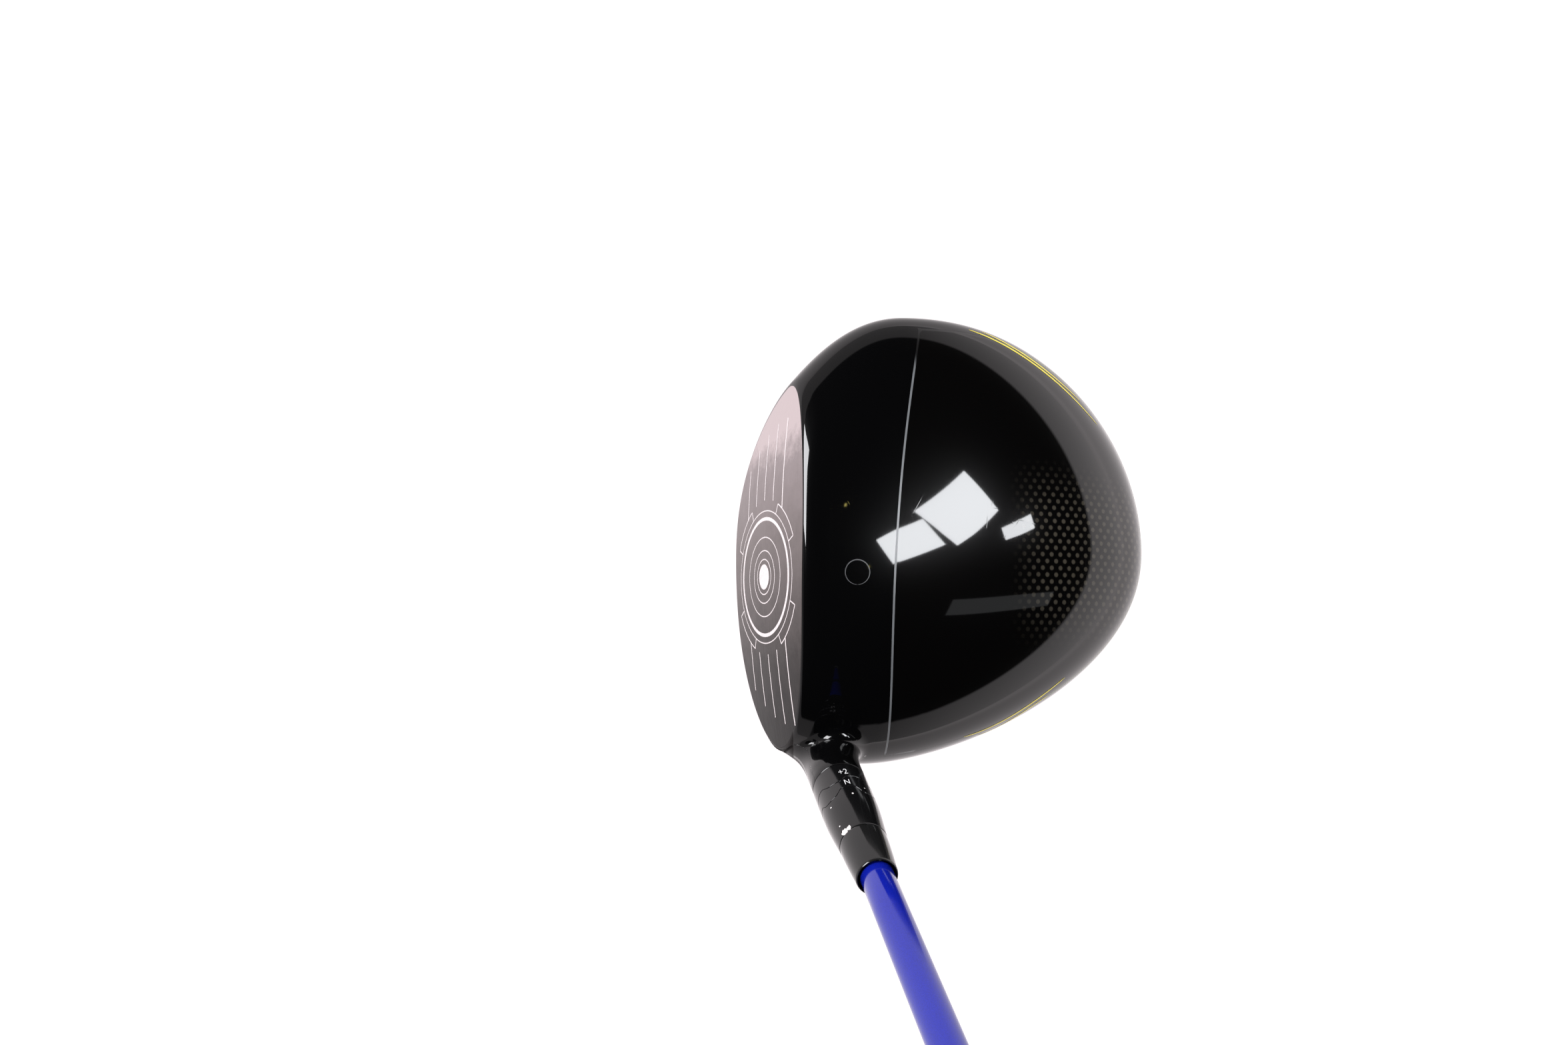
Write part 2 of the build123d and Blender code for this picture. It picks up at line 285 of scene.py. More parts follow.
def split_along(bm, level):
    bm.verts.ensure_lookup_table()
    values = level(np.array([v.co[:] for v in bm.verts]))
    values = np.where(np.abs(values) < 1e-3, 1e-3, values)
    for v in bm.verts:
        v.tag = False
    bm.verts.index_update()
    cut = []
    for e in bm.edges:
        a, b = values[e.verts[0].index], values[e.verts[1].index]
        if a * b < 0:
            cut.append((e, e.verts[0], a / (a - b)))
    touched = {}
    for e, v, t in cut:
        new = bmesh.utils.edge_split(e, v, t)[1]
        new.tag = True
        touched.update(dict.fromkeys(new.link_faces))
    for f in touched:
        ends = [v for v in f.verts if v.tag]
        if len(ends) == 2:
            try:
                bmesh.utils.face_split(f, ends[0], ends[1])
            except ValueError:
                pass
    for v in bm.verts:
        v.tag = False


def keep_where(bm, level):
    out = bm.copy()
    out.faces.ensure_lookup_table()
    values = level(np.array([f.calc_center_median()[:] for f in out.faces]))
    bmesh.ops.delete(out, geom=[f for f, g in zip(out.faces, values) if g < 0], context="FACES")
    return out


def skirt_under(p):
    toe, heel = reaches(p[:, 1])
    out = p[:, 0] - head_mid_x
    across = np.clip(out / np.maximum(np.where(out > 0, heel, toe), 1), -1, 1)
    return skirt_height(across, p[:, 1]) - sole_drop


def crown_level(p):
    seam = p[:, 1] + 4.3 - 0.00165 * (p[:, 0] - 20) ** 2
    return np.minimum(seam, p[:, 2] - skirt_under(p) - 7.0)


def sole_level(corners, rounding):
    ends = np.array(corners, float)
    sides = np.roll(ends, -1, axis=0) - ends
    facing = np.stack([-sides[:, 1], sides[:, 0]], -1) / np.linalg.norm(sides, axis=1)[:, None]
    if (facing[0] @ (ends.mean(0) - ends[0])) < 0:
        facing = -facing

    def level(p):
        inside = rounding - ((p[:, None, :2] - ends[None]) * facing[None]).sum(-1)
        plan = rounding - np.linalg.norm(np.maximum(inside, 0), axis=1) - np.minimum(inside.max(1), 0)
        return np.minimum(plan, skirt_under(p) - p[:, 2] - 2)
    return level


toe_level = sole_level([(-24, -14), (-50, -12), (-62, 12), (-55, 36), (-40, 46), (-24, 46)], 6)
heel_level = sole_level([(8, -8), (24, -6), (36, 2), (36, 24), (22, 42), (8, 46)], 6)
port_radius, port_top = 5.6, 21.2


def port_level(p):
    below = np.minimum(port_top - along_line(p), skirt_under(p) - p[:, 2])
    return np.minimum(port_radius - from_line(p)[0], below)


slide = next(j for j in frame["joints"] if j["name"] == "weight_slide")
track_centre = np.array(slide["pos_m"]) / mm
track_radius, track_tilt, track_half, track_span = 50.0, math.radians(30), 6.95, math.radians(37.1)
track_inward = np.array([-math.sin(track_tilt), math.cos(track_tilt)])
track_lip = 3.0


def in_track(p):
    out = p - track_centre
    reach = np.hypot(out[:, 0], out[:, 1])
    across = (reach - track_radius) * math.cos(track_tilt) + out[:, 2] * math.sin(track_tilt)
    depth = -(reach - track_radius) * math.sin(track_tilt) + out[:, 2] * math.cos(track_tilt)
    return across, depth, np.arctan2(out[:, 0], out[:, 1]) * reach, reach


def track_level(p):
    across, depth, swing, reach = in_track(p)
    ends = track_span * reach - np.abs(swing)
    return np.minimum(np.minimum(track_half - np.abs(across), ends), skirt_under(p) - p[:, 2] - 1)


crown_gap, sheet_gap = 0.6, 0.25
frame_lip, sheet_thickness = 1.2, 1.0
for level in (crown_level, lambda p: crown_level(p) - crown_gap):
    split_along(head_mesh, level)
frame_mesh = keep_where(head_mesh, lambda p: -crown_level(p))
for level in (toe_level, heel_level):
    split_along(frame_mesh, level)
    split_along(frame_mesh, lambda p: level(p) - sheet_gap)
beside_port = port_level(np.array([v.co[:] for v in frame_mesh.verts])) > -4
frame_mesh.verts.index_update()
close_edges = [e for e in frame_mesh.edges if all(beside_port[v.index] for v in e.verts)]
bmesh.ops.subdivide_edges(frame_mesh, edges=close_edges, cuts=2, use_grid_fill=True)
for level in (port_level, track_level):
    split_along(frame_mesh, level)
under_mesh = frame_mesh.copy()
for level in (toe_level, heel_level, port_level, track_level):
    kept = keep_where(frame_mesh, lambda p: -level(p))
    frame_mesh.free()
    frame_mesh = kept


def fold_in(bm, move, near=None):
    rim_edges = [e for e in bm.edges if e.is_boundary and (near is None or near(e))]
    for e in rim_edges:
        e.smooth = False
    old = {v: v.normal.copy() for e in rim_edges for v in e.verts}
    made = bmesh.ops.extrude_edge_only(bm, edges=rim_edges)["geom"]
    for v in [g for g in made if isinstance(g, bmesh.types.BMVert)]:
        start = next(e.other_vert(v) for e in v.link_edges if e.other_vert(v) in old)
        v.co = move(start.co, old[start])


def sink(depth):
    return lambda co, normal: co - normal * depth


def rim_near(level, within=0.05):
    def near(e):
        return abs(level(np.array([(e.verts[0].co + e.verts[1].co)[:]]) / 2)[0]) < within
    return near


def down_port(co, normal):
    return co + Vector((shaft_line * (port_top - along_line(np.array(co[:])))).tolist())


def down_track(co, normal):
    out = np.array(co[:]) - track_centre
    side = unit(np.array([out[0], out[1], 0.0]))
    inward = side * track_inward[0] + np.array([0, 0, track_inward[1]])
    return co + Vector((track_lip * inward).tolist())


def make_piece(name, bm, paint, body, nodes):
    mesh = bpy.data.meshes.new(name)
    bm.normal_update()
    bm.to_mesh(mesh)
    bm.free()
    mesh.transform(Matrix.Scale(mm, 4))
    mesh.polygons.foreach_set("use_smooth", [True] * len(mesh.polygons))
    mesh.update()
    piece = bpy.data.objects.new(name, mesh)
    bpy.context.scene.collection.objects.link(piece)
    piece.data.materials.append(paint)
    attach(piece, body)
    if nodes:
        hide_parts(*nodes)
    return piece


def new_paint(name, **values):
    paint = bpy.data.materials.new(name)
    paint.use_nodes = True
    shader = paint.node_tree.nodes["Principled BSDF"]
    for key, value in values.items():
        shader.inputs[key.replace("_", " ")].default_value = value
    return paint, paint.node_tree, shader


def add(tree, kind, inputs=None, **settings):
    node = tree.nodes.new("ShaderNode" + kind)
    for key, value in settings.items():
        setattr(node, key, value)
    for key, value in (inputs or {}).items():
        if isinstance(value, bpy.types.NodeSocket):
            tree.links.new(value, node.inputs[key])
        else:
            node.inputs[key].default_value = value
    return node


def place(tree):
    return add(tree, "TexCoord").outputs["Object"]


def noise(tree, where, scale, detail=2.0, roughness=0.5):
    inputs = {"Vector": where, "Scale": scale, "Detail": detail, "Roughness": roughness}
    return add(tree, "TexNoise", inputs).outputs["Fac"]


def span(tree, value, low, high, to_low=0.0, to_high=1.0, **settings):
    inputs = {"Value": value, "From Min": low, "From Max": high, "To Min": to_low, "To Max": to_high}
    return add(tree, "MapRange", inputs, **settings).outputs["Result"]


def work(tree, operation, *terms):
    return add(tree, "Math", dict(enumerate(terms)), operation=operation).outputs[0]


def feed(tree, value, shader, socket="Base Color"):
    tree.links.new(value, shader.inputs[socket])


def bumped(tree, shader, height, strength, distance, socket="Normal"):
    bump = add(tree, "Bump", {"Height": height, "Strength": strength, "Distance": distance})
    feed(tree, bump.outputs["Normal"], shader, socket)


def worn_gloss(tree, shader, coat_roughness=0.035, hairlines=0.4):
    gloss = {"Coat Roughness": coat_roughness, "Coat Weight": 1.0, "Coat IOR": 1.37,
             "Roughness": 0.22, "Specular IOR Level": 0.018}
    for key, value in gloss.items():
        shader.inputs[key].default_value = value
    where = place(tree)
    peel = noise(tree, where, 900.0, 1.0)
    bent = add(tree, "Mapping", {"Vector": where, "Scale": (1.0, 1.0, 0.2)}).outputs["Vector"]
    cells = {"Vector": bent, "Scale": 120.0, "Randomness": 1.0}
    hair = add(tree, "TexVoronoi", cells, feature="DISTANCE_TO_EDGE")
    line = span(tree, hair.outputs["Distance"], 0.0, 0.012)
    some = span(tree, noise(tree, where, 35.0, 3.0), 0.56, 0.6, 1.0, 0.0)
    marks = work(tree, "MULTIPLY", work(tree, "MAXIMUM", line, some), hairlines)
    bumped(tree, shader, work(tree, "MULTIPLY_ADD", peel, 0.05, marks), 0.25, 0.00001, "Coat Normal")


black_paint, tree, shader = new_paint("gloss_black_paint", Base_Color=(0.0012, 0.0012, 0.0013, 1), IOR=1.5)
worn_gloss(tree, shader)
patch_side_x, patch_low_z = 41.1, 17.7


# the front of the hosel that is left unpainted, a patch that ends in a point
def bare_front(p):
    in_front = -20.3 - 0.978 * p[:, 1] - 0.207 * p[:, 2]
    past_face = p[:, 0] - patch_side_x
    return np.minimum(np.minimum(in_front, past_face), p[:, 2] - patch_low_z - 0.95 * past_face)


split_along(frame_mesh, bare_front)
fold_in(frame_mesh, down_port, rim_near(port_level))
fold_in(frame_mesh, down_track, rim_near(track_level))
panel_rims = [rim_near(level, 0.3) for level in (crown_level, toe_level, heel_level)]
fold_in(frame_mesh, sink(frame_lip), lambda e: any(near(e) for near in panel_rims))
cast_frame = make_piece("cast_head_frame", frame_mesh, black_paint, "head", ["head_frame"])


# Face plate: a thin forged titanium plate, slightly domed and welded into the front of the cast frame.
# It is ground to a satin finish and has a rounded edge where it meets the painted body; its colour holds a painted
# reflection.
face_rows = [edge_curve(t) for t in (0.08, 0.06, 0.04, 0.02, 0.0)]
for k in np.linspace(1, 0, 45)[1:-1]:
    face_rows.append(onto_face(face_centre + (face_rows[4] - face_centre) * k))
face_mesh = bmesh.new()
face_points = np.concatenate(face_rows + [face_centre[None]])
for p in face_points:
    face_mesh.verts.new(p)
face_mesh.verts.ensure_lookup_table()
for i in range(len(face_rows) - 1):
    outer, inner = i * columns, (i + 1) * columns
    for j in range(columns):
        k = (j + 1) % columns
        face_mesh.faces.new([face_mesh.verts[n] for n in (inner + j, outer + j, outer + k, inner + k)])
last, middle = (len(face_rows) - 1) * columns, len(face_points) - 1
for j in range(columns):
    face_mesh.faces.new([face_mesh.verts[n] for n in (middle, last + j, last + (j + 1) % columns)])
face_mesh.normal_update()
if sum(f.normal.y for f in face_mesh.faces) > 0:
    bmesh.ops.reverse_faces(face_mesh, faces=face_mesh.faces)
face_mesh.normal_update()
fold_in(face_mesh, sink(sheet_thickness))
satin_metal_and_painted_reflection, tree, shader = new_paint("satin_ground_metal_and_painted_reflection", Metallic=1.0)


def ramp(tree, value, stops):
    node = add(tree, "ValToRGB", {"Fac": value})
    elements = node.color_ramp.elements
    for end in (0, -1):
        elements[end].position = stops[end][0]
        elements[end].color = (*stops[end][1], 1)
    for spot, tint in stops[1:-1]:
        step = elements.new(spot)
        step.color = (*tint, 1)
    return node.outputs["Color"]


where = place(tree)
grind = add(tree, "Mapping", {"Vector": where, "Scale": (60.0, 900.0, 2600.0)}).outputs["Vector"]
lines = noise(tree, grind, 1.0, 4.0)
apart = add(tree, "SeparateXYZ", {"Vector": where})
# Painted reflection: the base colour runs from near black at the heel to pale at the toe, standing in for a
# brighter floor reflected at the toe end. The noise added on top is random tone in the metal.
painted_toe_reflection = span(tree, apart.outputs["X"], 0.048, -0.05)
mottle_and_painted_reflection = work(tree, "MULTIPLY_ADD", noise(tree, where, 160.0, 6.0, 0.7), 0.22, painted_toe_reflection)
tones_and_painted_reflection = [(0.0, (0.003, 0.0026, 0.0026)), (0.19, (0.014, 0.0123, 0.012)), (0.345, (0.041, 0.036, 0.035)),
         (0.70, (0.195, 0.171, 0.168)), (0.92, (0.305, 0.266, 0.27)), (1.0, (0.57, 0.495, 0.50))]
feed(tree, ramp(tree, mottle_and_painted_reflection, tones_and_painted_reflection), shader)
feed(tree, span(tree, lines, 0.0, 1.0, 0.3, 0.46), shader, "Roughness")
bumped(tree, shader, lines, 0.35, 0.00004)
make_piece("forged_face_plate", face_mesh, satin_metal_and_painted_reflection, "head", ["face_plate"])
cast_frame.data.materials.append(satin_metal_and_painted_reflection)
for side in cast_frame.data.polygons:
    if bare_front(np.array([side.center[:]]) / mm)[0] > 0:
        side.material_index = 1


# Face marks: target rings and score lines, etched bright in the real face. Here each is a thin ribbon
# that lies just over the ground metal.
etched, tree, shader = new_paint("etched_metal", Metallic=0.6, Roughness=0.5)


def two_tone(tree, shader, value, dark, light):
    feed(tree, ramp(tree, value, [(0.0, dark), (1.0, light)]), shader)


two_tone(tree, shader, noise(tree, place(tree), 1500.0, 3.0), (0.55, 0.50, 0.50), (0.80, 0.75, 0.75))
face_up = np.cross(face_out, [1.0, 0.0, 0.0])
face_up = face_up if face_up[2] > 0 else -face_up
marks_mesh = bmesh.new()


def on_face(x, up):
    x, up = np.atleast_1d(x), np.atleast_1d(up)
    return onto_face(face_centre + np.outer(x, [1.0, 0.0, 0.0]) + np.outer(up, face_up))


def ribbon(bm, left, right, normals_at, lift=0.02, closed=False):
    a = [bm.verts.new(p + n * lift) for p, n in zip(left, normals_at)]
    b = [bm.verts.new(p + n * lift) for p, n in zip(right, normals_at)]
    for k in range(len(a) if closed else len(a) - 1):
        j = (k + 1) % len(a)
        face = bm.faces.new((a[k], a[j], b[j], b[k]))
        face.normal_update()
        if face.normal.dot(Vector(normals_at[k].tolist())) < 0:
            face.normal_flip()


def face_ring(radius, width, start=0.0, stop=360.0):
    whole = stop - start >= 360
    count = max(int((stop - start) / 3), 8)
    t = np.radians(np.linspace(start, stop, count, endpoint=not whole))
    inner, outer = radius - width / 2, radius + width / 2
    left, right = (on_face(r * np.cos(t), r * np.sin(t)) for r in (inner, outer))
    ribbon(marks_mesh, left, right, unit(left - face_ball), closed=whole)


def face_line(x0, up0, x1, up1, width):
    t = np.linspace(0, 1, 12)
    x, up = x0 + (x1 - x0) * t, up0 + (up1 - up0) * t
    across = np.array([-(up1 - up0), x1 - x0]) / math.hypot(x1 - x0, up1 - up0) * width / 2
    left, right = on_face(x - across[0], up - across[1]), on_face(x + across[0], up + across[1])
    ribbon(marks_mesh, left, right, unit(left - face_ball))


dot = np.radians(np.linspace(0, 360, 48, endpoint=False))
disc = on_face(3.6 * np.cos(dot), 3.6 * np.sin(dot))
marks_mesh.faces.new([marks_mesh.verts.new(p + face_out * 0.03) for p in disc])
for ring_radius, width in ((5.0, 0.3), (7.5, 0.3), (11.3, 0.3), (16.6, 1.0), (18.9, 0.3)):
    face_ring(ring_radius, width)
for middle in (45, 135, 225, 315):
    face_ring(22.0, 0.35, middle - 19, middle + 19)
    for side in (-19, 19):
        across, up = math.cos(math.radians(middle + side)), math.sin(math.radians(middle + side))
        face_line(19.0 * across, 19.0 * up, 22.0 * across, 22.0 * up, 0.35)
for k in range(5):
    up = 12.4 - 6.3 * k
    width = 0.5 if k == 0 else 0.4
    hug = max(math.sqrt(21.0 ** 2 - up ** 2) * 0.98, 15.0)
    toe_end, heel_end = 44.5 - 0.75 * k ** 2, 43.0 - 0.7 * k ** 2
    face_line(-toe_end, up, -hug - 1.5, up, width)
    face_line(hug + 1.5, up, heel_end, up, width)
make_piece("etched_face_marks", marks_mesh, etched, "head", [])


# Crown panel: moulded gloss black sheet bonded on the frame's ledge, its fibre dots showing through
# the lacquer towards the back. A grey bond line follows its front edge and a pale one the rest.
crown_mesh = keep_where(head_mesh, lambda p: crown_level(p) - crown_gap)
bond_mesh = keep_where(head_mesh, lambda p: np.minimum(crown_level(p), crown_gap - crown_level(p)))
fold_in(crown_mesh, sink(sheet_thickness))
crown_paint, tree, shader = new_paint("crown_lacquer", IOR=1.5)
worn_gloss(tree, shader)
where = place(tree)
dot_wide, dot_deep = 0.0038, 0.0029


def vector_work(tree, operation, *terms):
    node = add(tree, "VectorMath", dict(enumerate(terms)), operation=operation)
    return node.outputs["Value" if operation in ("LENGTH", "DISTANCE", "DOT_PRODUCT") else "Vector"]


def blend(tree, share, first, second):
    mix = add(tree, "Mix", {"Factor": share}, data_type="RGBA")
    for side, tint in (("A", first), ("B", second)):
        if isinstance(tint, bpy.types.NodeSocket):
            tree.links.new(tint, mix.inputs[side])
        else:
            mix.inputs[side].default_value = (*tint, 1)
    return mix.outputs["Result"]


cells = vector_work(tree, "MULTIPLY", where, (1 / dot_wide, 1 / dot_deep, 0.0))
spots = []
for shift in (0.0, 0.5):
    part = vector_work(tree, "FRACTION", vector_work(tree, "ADD", cells, (shift, shift, 0.0)))
    centred = vector_work(tree, "SUBTRACT", part, (0.5, 0.5, 0.0))
    sized = vector_work(tree, "MULTIPLY", centred, (dot_wide, dot_deep, 0.0))
    spots.append(vector_work(tree, "LENGTH", sized))
spot = span(tree, work(tree, "MINIMUM", *spots), 0.00078, 0.00045)
apart = add(tree, "SeparateXYZ", {"Vector": where})
back = span(tree, apart.outputs["Y"], 0.030, 0.044, interpolation_type="SMOOTHSTEP")
side = work(tree, "ABSOLUTE", work(tree, "SUBTRACT", apart.outputs["X"], -0.004))
side = span(tree, side, 0.010, 0.028, 1.0, 0.0, interpolation_type="SMOOTHSTEP")
shown = work(tree, "MULTIPLY", spot, work(tree, "MULTIPLY", back, side))
feed(tree, blend(tree, shown, (0.0012, 0.0011, 0.0011), (0.042, 0.037, 0.028)), shader)
make_piece("crown_sheet", crown_mesh, crown_paint, "head", ["crown_panel"])

bond_paint, tree, shader = new_paint("bond_line", Roughness=0.3)
apart = add(tree, "SeparateXYZ", {"Vector": place(tree)})
rear = span(tree, apart.outputs["Y"], 0.0, 0.06)
black = (0.0012, 0.0012, 0.0013)
grey, pale_green = (0.11, 0.115, 0.12), (0.17, 0.20, 0.12)
tone = ramp(tree, rear, [(0.10, grey), (0.115, black), (0.50, black), (0.70, pale_green)])
inboard = span(tree, apart.outputs["X"], 0.0505, 0.0512, 1.0, 0.0)
outboard = span(tree, apart.outputs["X"], -0.063, -0.056)
behind = span(tree, apart.outputs["Y"], 0.012, 0.014)
shown = work(tree, "MAXIMUM", work(tree, "MULTIPLY", inboard, outboard), behind)
feed(tree, blend(tree, shown, black, tone), shader)
bond_drop = 0.02
bmesh.ops.translate(bond_mesh, verts=bond_mesh.verts, vec=(0, 0, -bond_drop))
make_piece("crown_bond_line", bond_mesh, bond_paint, "head", [])


# Crown stripes: thin gold pinstripes painted inside the panel's edge at toe and heel, and a small
# plain ring behind the middle of the face as an alignment mark.
gold, tree, shader = new_paint("gold_pinstripe", Roughness=0.3)
two_tone(tree, shader, noise(tree, place(tree), 400.0), (0.62, 0.50, 0.01), (0.80, 0.68, 0.03))
stripe_mesh = bmesh.new()


def shell_stripe(bm, ys, turns, width):
    ys, turns = np.asarray(ys), np.asarray(turns)
    mid = shell(ys, turns)
    run = unit(np.gradient(mid, axis=0))
    lean_in = shell(ys, turns + 0.004) - shell(ys, turns - 0.004)
    out = unit(np.cross(shell(ys + 0.3, turns) - shell(ys - 0.3, turns), lean_in))
    cross = unit(np.cross(run, out))
    taper = np.sin(np.linspace(0, math.pi, len(ys))) ** 0.35
    half = cross * (width / 2 * taper)[:, None]
    ribbon(bm, mid - half, mid + half, out, 0.06)


def top_point(x, y):
    toe, heel = (float(v) for v in reaches(np.array(float(y))))
    across = (x - head_mid_x) / (heel if x > head_mid_x else toe)
    return math.acos(max(min(across, 1), -1))


# each stripe is a smooth curve through four places, seen from above, in mm
stripes = ([(-70.5, 25), (-65, 38.5), (-56, 52), (-44, 65.5)],
           [(-70.5, 29.5), (-65.5, 40), (-59, 50), (-51, 60.5)],
           [(46.5, 21), (43, 31.5), (37.5, 41.5), (30, 52)],
           [(46, 26.5), (43.5, 33.5), (39.5, 40.5), (35, 47.5)])
stripe_width = 0.85
for stripe in stripes:
    xs, ys = np.array(stripe, float).T
    along_y = np.linspace(ys[0], ys[-1], 90)
    plan_x = np.polyval(np.polyfit(ys, xs, 3), along_y)
    along_turn = [top_point(x, y) for x, y in zip(plan_x, along_y)]
    shell_stripe(stripe_mesh, along_y, along_turn, stripe_width)
make_piece("crown_pinstripes", stripe_mesh, gold, "head", [])

mark_paint, tree, shader = new_paint("grey_mark", Roughness=0.3)
two_tone(tree, shader, noise(tree, place(tree), 700.0), (0.03, 0.03, 0.032), (0.06, 0.06, 0.063))
mark_mesh = bmesh.new()
ring_turn = np.linspace(0, 2 * math.pi, 49)
mark_x, mark_y, mark_radius, mark_width = 1.5, -14.0, 3.4, 0.3
ring_x, ring_y = mark_x + mark_radius * np.cos(ring_turn), mark_y + mark_radius * np.sin(ring_turn)
shell_stripe(mark_mesh, ring_y, [top_point(x, y) for x, y in zip(ring_x, ring_y)], mark_width)
make_piece("crown_alignment_ring", mark_mesh, mark_paint, "head", [])
head_mesh.free()


# Sole panels: two moulded sheets of woven fibre with a satin finish.
# They are bonded flush in the sole, one on either side of the middle.
sheet_paint, tree, shader = new_paint("sole_sheet_weave", Coat_Weight=1.0, Coat_Roughness=0.06)
turned = add(tree, "Mapping", {"Vector": place(tree), "Rotation": (0, 0, 0.6), "Scale": (500, 500, 500)})
weave = add(tree, "TexChecker", {"Vector": turned.outputs["Vector"], "Scale": 1.0})
weave.inputs["Color1"].default_value = (0.018, 0.018, 0.02, 1)
weave.inputs["Color2"].default_value = (0.006, 0.006, 0.007, 1)
feed(tree, weave.outputs["Color"], shader)
feed(tree, span(tree, weave.outputs["Fac"], 0.0, 1.0, 0.32, 0.5), shader, "Roughness")
for side, level in (("toe", toe_level), ("heel", heel_level)):
    sheet = keep_where(under_mesh, lambda p: level(p) - sheet_gap)
    fold_in(sheet, sink(sheet_thickness))
    make_piece("sole_sheet_" + side, sheet, sheet_paint, "head", ["sole_panel_" + side])
under_mesh.free()


# Adjustable hosel: a loft ring and a lie ring that meet on waved edges, and above them the adapter
# sleeve glued on the shaft tip. Turned aluminium, gloss black, with small chips where it has been knocked.
sleeve_paint, tree, shader = new_paint("gloss_black_anodised", IOR=1.5)
worn_gloss(tree, shader, 0.11, 0.0)
where = place(tree)
ragged = noise(tree, where, 900.0, 3.0)
chips = 0.0
knocks = ((87.9, 132, 1.1), (87.9, 146, 1.3), (84.5, 150, 0.35), (76, 150, 0.4), (75, 96, 0.35),
          (71.5, 62, 0.35))
for s, angle, size in knocks:
    knock_at = on_line(s, 7.4 - 0.06 * (s - 72.6), math.radians(angle)) * mm
    away = vector_work(tree, "DISTANCE", where, tuple(knock_at.tolist()))
    rough_away = work(tree, "MULTIPLY_ADD", ragged, 0.0024 * size, away)
    chips = work(tree, "MAXIMUM", chips, span(tree, rough_away, 0.00195 * size, 0.0018 * size))
feed(tree, blend(tree, chips, (0.003, 0.003, 0.0032), (0.75, 0.70, 0.68)), shader)
ring_count = 192
around = np.arange(ring_count) * 2 * math.pi / ring_count


def turned_piece(name, profile, paint, body, nodes, low_wave=0.0, high_wave=0.0):
    """profile goes up the outside and back down the inside; a place is (distance, radius), with its shares
    of the low and the high wave after them where its edge is waved"""
    bm = bmesh.new()
    loops = []
    for s, r, *shares in profile:
        low_share, high_share = shares or (0, 0)
        height = s + low_share * low_wave + high_share * high_wave + np.zeros(ring_count)
        loops.append([bm.verts.new(p) for p in on_line(height, np.full(ring_count, r), around)])
    for lower, upper in zip(loops, loops[1:] + loops[:1]):
        for k in range(ring_count):
            n = (k + 1) % ring_count
            bm.faces.new((lower[k], lower[n], upper[n], upper[k]))
    bmesh.ops.recalc_face_normals(bm, faces=bm.faces)
    for e in bm.edges:
        if len(e.link_faces) == 2 and e.calc_face_angle(0) > math.radians(38):
            e.smooth = False
    return make_piece(name, bm, paint, body, nodes)


def wave(height, turned_by):
    return height * np.tanh(1.8 * np.sin(4 * (around - turned_by))) / math.tanh(1.8)


lower_wave, upper_wave = wave(1.0, 0.2), wave(1.35, 0.55)
ring_radius, ring_bore, ring_joint, ring_end = 7.5, 5.62, 67.2, 72.6
joint_gap, bevel = 0.04, 0.16


def ring_profile(s0, s1, waved_low, waved_high):
    corner = [(0, ring_bore), (0, ring_radius - bevel), (bevel * 0.4, ring_radius - bevel * 0.4),
              (bevel, ring_radius), (bevel + 0.04, ring_radius)]
    low_edge = [(s0 + step, r, waved_low, 0) for step, r in corner]
    high_edge = [(s1 - step, r, 0, waved_high) for step, r in reversed(corner)]
    return low_edge + high_edge


loft_profile = ring_profile(hosel_top + 0.06, ring_joint - joint_gap, 0, 1)
turned_piece("loft_adjust_ring", loft_profile, sleeve_paint, "loft_ring", ["loft_ring"],
             high_wave=lower_wave)
lie_profile = ring_profile(ring_joint + joint_gap, ring_end - joint_gap, 1, 1)
turned_piece("lie_adjust_ring", lie_profile, sleeve_paint, "lie_ring", ["lie_ring"],
             lower_wave, upper_wave)
sleeve_foot = ring_end + joint_gap
sleeve_profile = [(33.0, 2.6), (33.0, 5.2), (33.35, 5.55), (60.0, 5.55), (70.4, 5.55)]
sleeve_profile += [(sleeve_foot + step, r, 1, 0) for step, r in
                   ((0, 5.56), (0, 7.34), (0.07, 7.44), (0.16, 7.49), (0.22, 7.49))]
sleeve_profile += [(76.4, 7.4), (80.0, 7.18), (84.0, 6.85), (88.1, 6.49), (88.2, 6.48), (88.42, 6.42),
                   (88.5, 6.3), (88.5, 4.45), (46.0, 4.3), (45.0, 2.6)]
turned_piece("adapter_sleeve_body", sleeve_profile, sleeve_paint, "club", ["adapter_sleeve"],
             upper_wave)


# Ring marks: the setting that each ring stands at, printed in white. The rings are marked with plain
# figures and letters, "+2" on the loft ring and "N" on the lie ring.
white_mark, tree, shader = new_paint("white_mark", Roughness=0.45)
two_tone(tree, shader, noise(tree, place(tree), 2500.0, 3.0), (0.30, 0.30, 0.30), (0.75, 0.75, 0.75))
mark_turn, mark_narrowing = math.radians(97), 0.68


def wrapped_text(name, words, s, size, body):
    curve = bpy.data.curves.new(name, "FONT")
    curve.body, curve.size, curve.align_x, curve.align_y = words, size, "CENTER", "CENTER"
    curve.resolution_u = 6
    flat_text = bpy.data.objects.new(name + "_flat", curve)
    bpy.context.scene.collection.objects.link(flat_text)
    bpy.context.view_layer.update()
    mesh = bpy.data.meshes.new_from_object(flat_text)
    bpy.data.objects.remove(flat_text)
    bm = bmesh.new()
    bm.from_mesh(mesh)
    bmesh.ops.subdivide_edges(bm, edges=[e for e in bm.edges if e.calc_length() > 0.4], cuts=2)
    bmesh.ops.triangulate(bm, faces=bm.faces)
    for v in bm.verts:
        turned_by = mark_turn - mark_narrowing * v.co.x / ring_radius
        v.co = Vector(on_line(s - v.co.y, ring_radius + 0.02, turned_by).tolist())
    for f in bm.faces:
        f.normal_update()
        out = np.array(f.calc_center_median()[:])
        if f.normal.dot(Vector((out - on_line(along_line(out))).tolist())) < 0:
            f.normal_flip()
    return make_piece(name, bm, white_mark, body, [])


wrapped_text("loft_ring_mark", "+2", 64.0, 3.6, "loft_ring")
wrapped_text("lie_ring_mark", "N", 69.3, 3.3, "lie_ring")


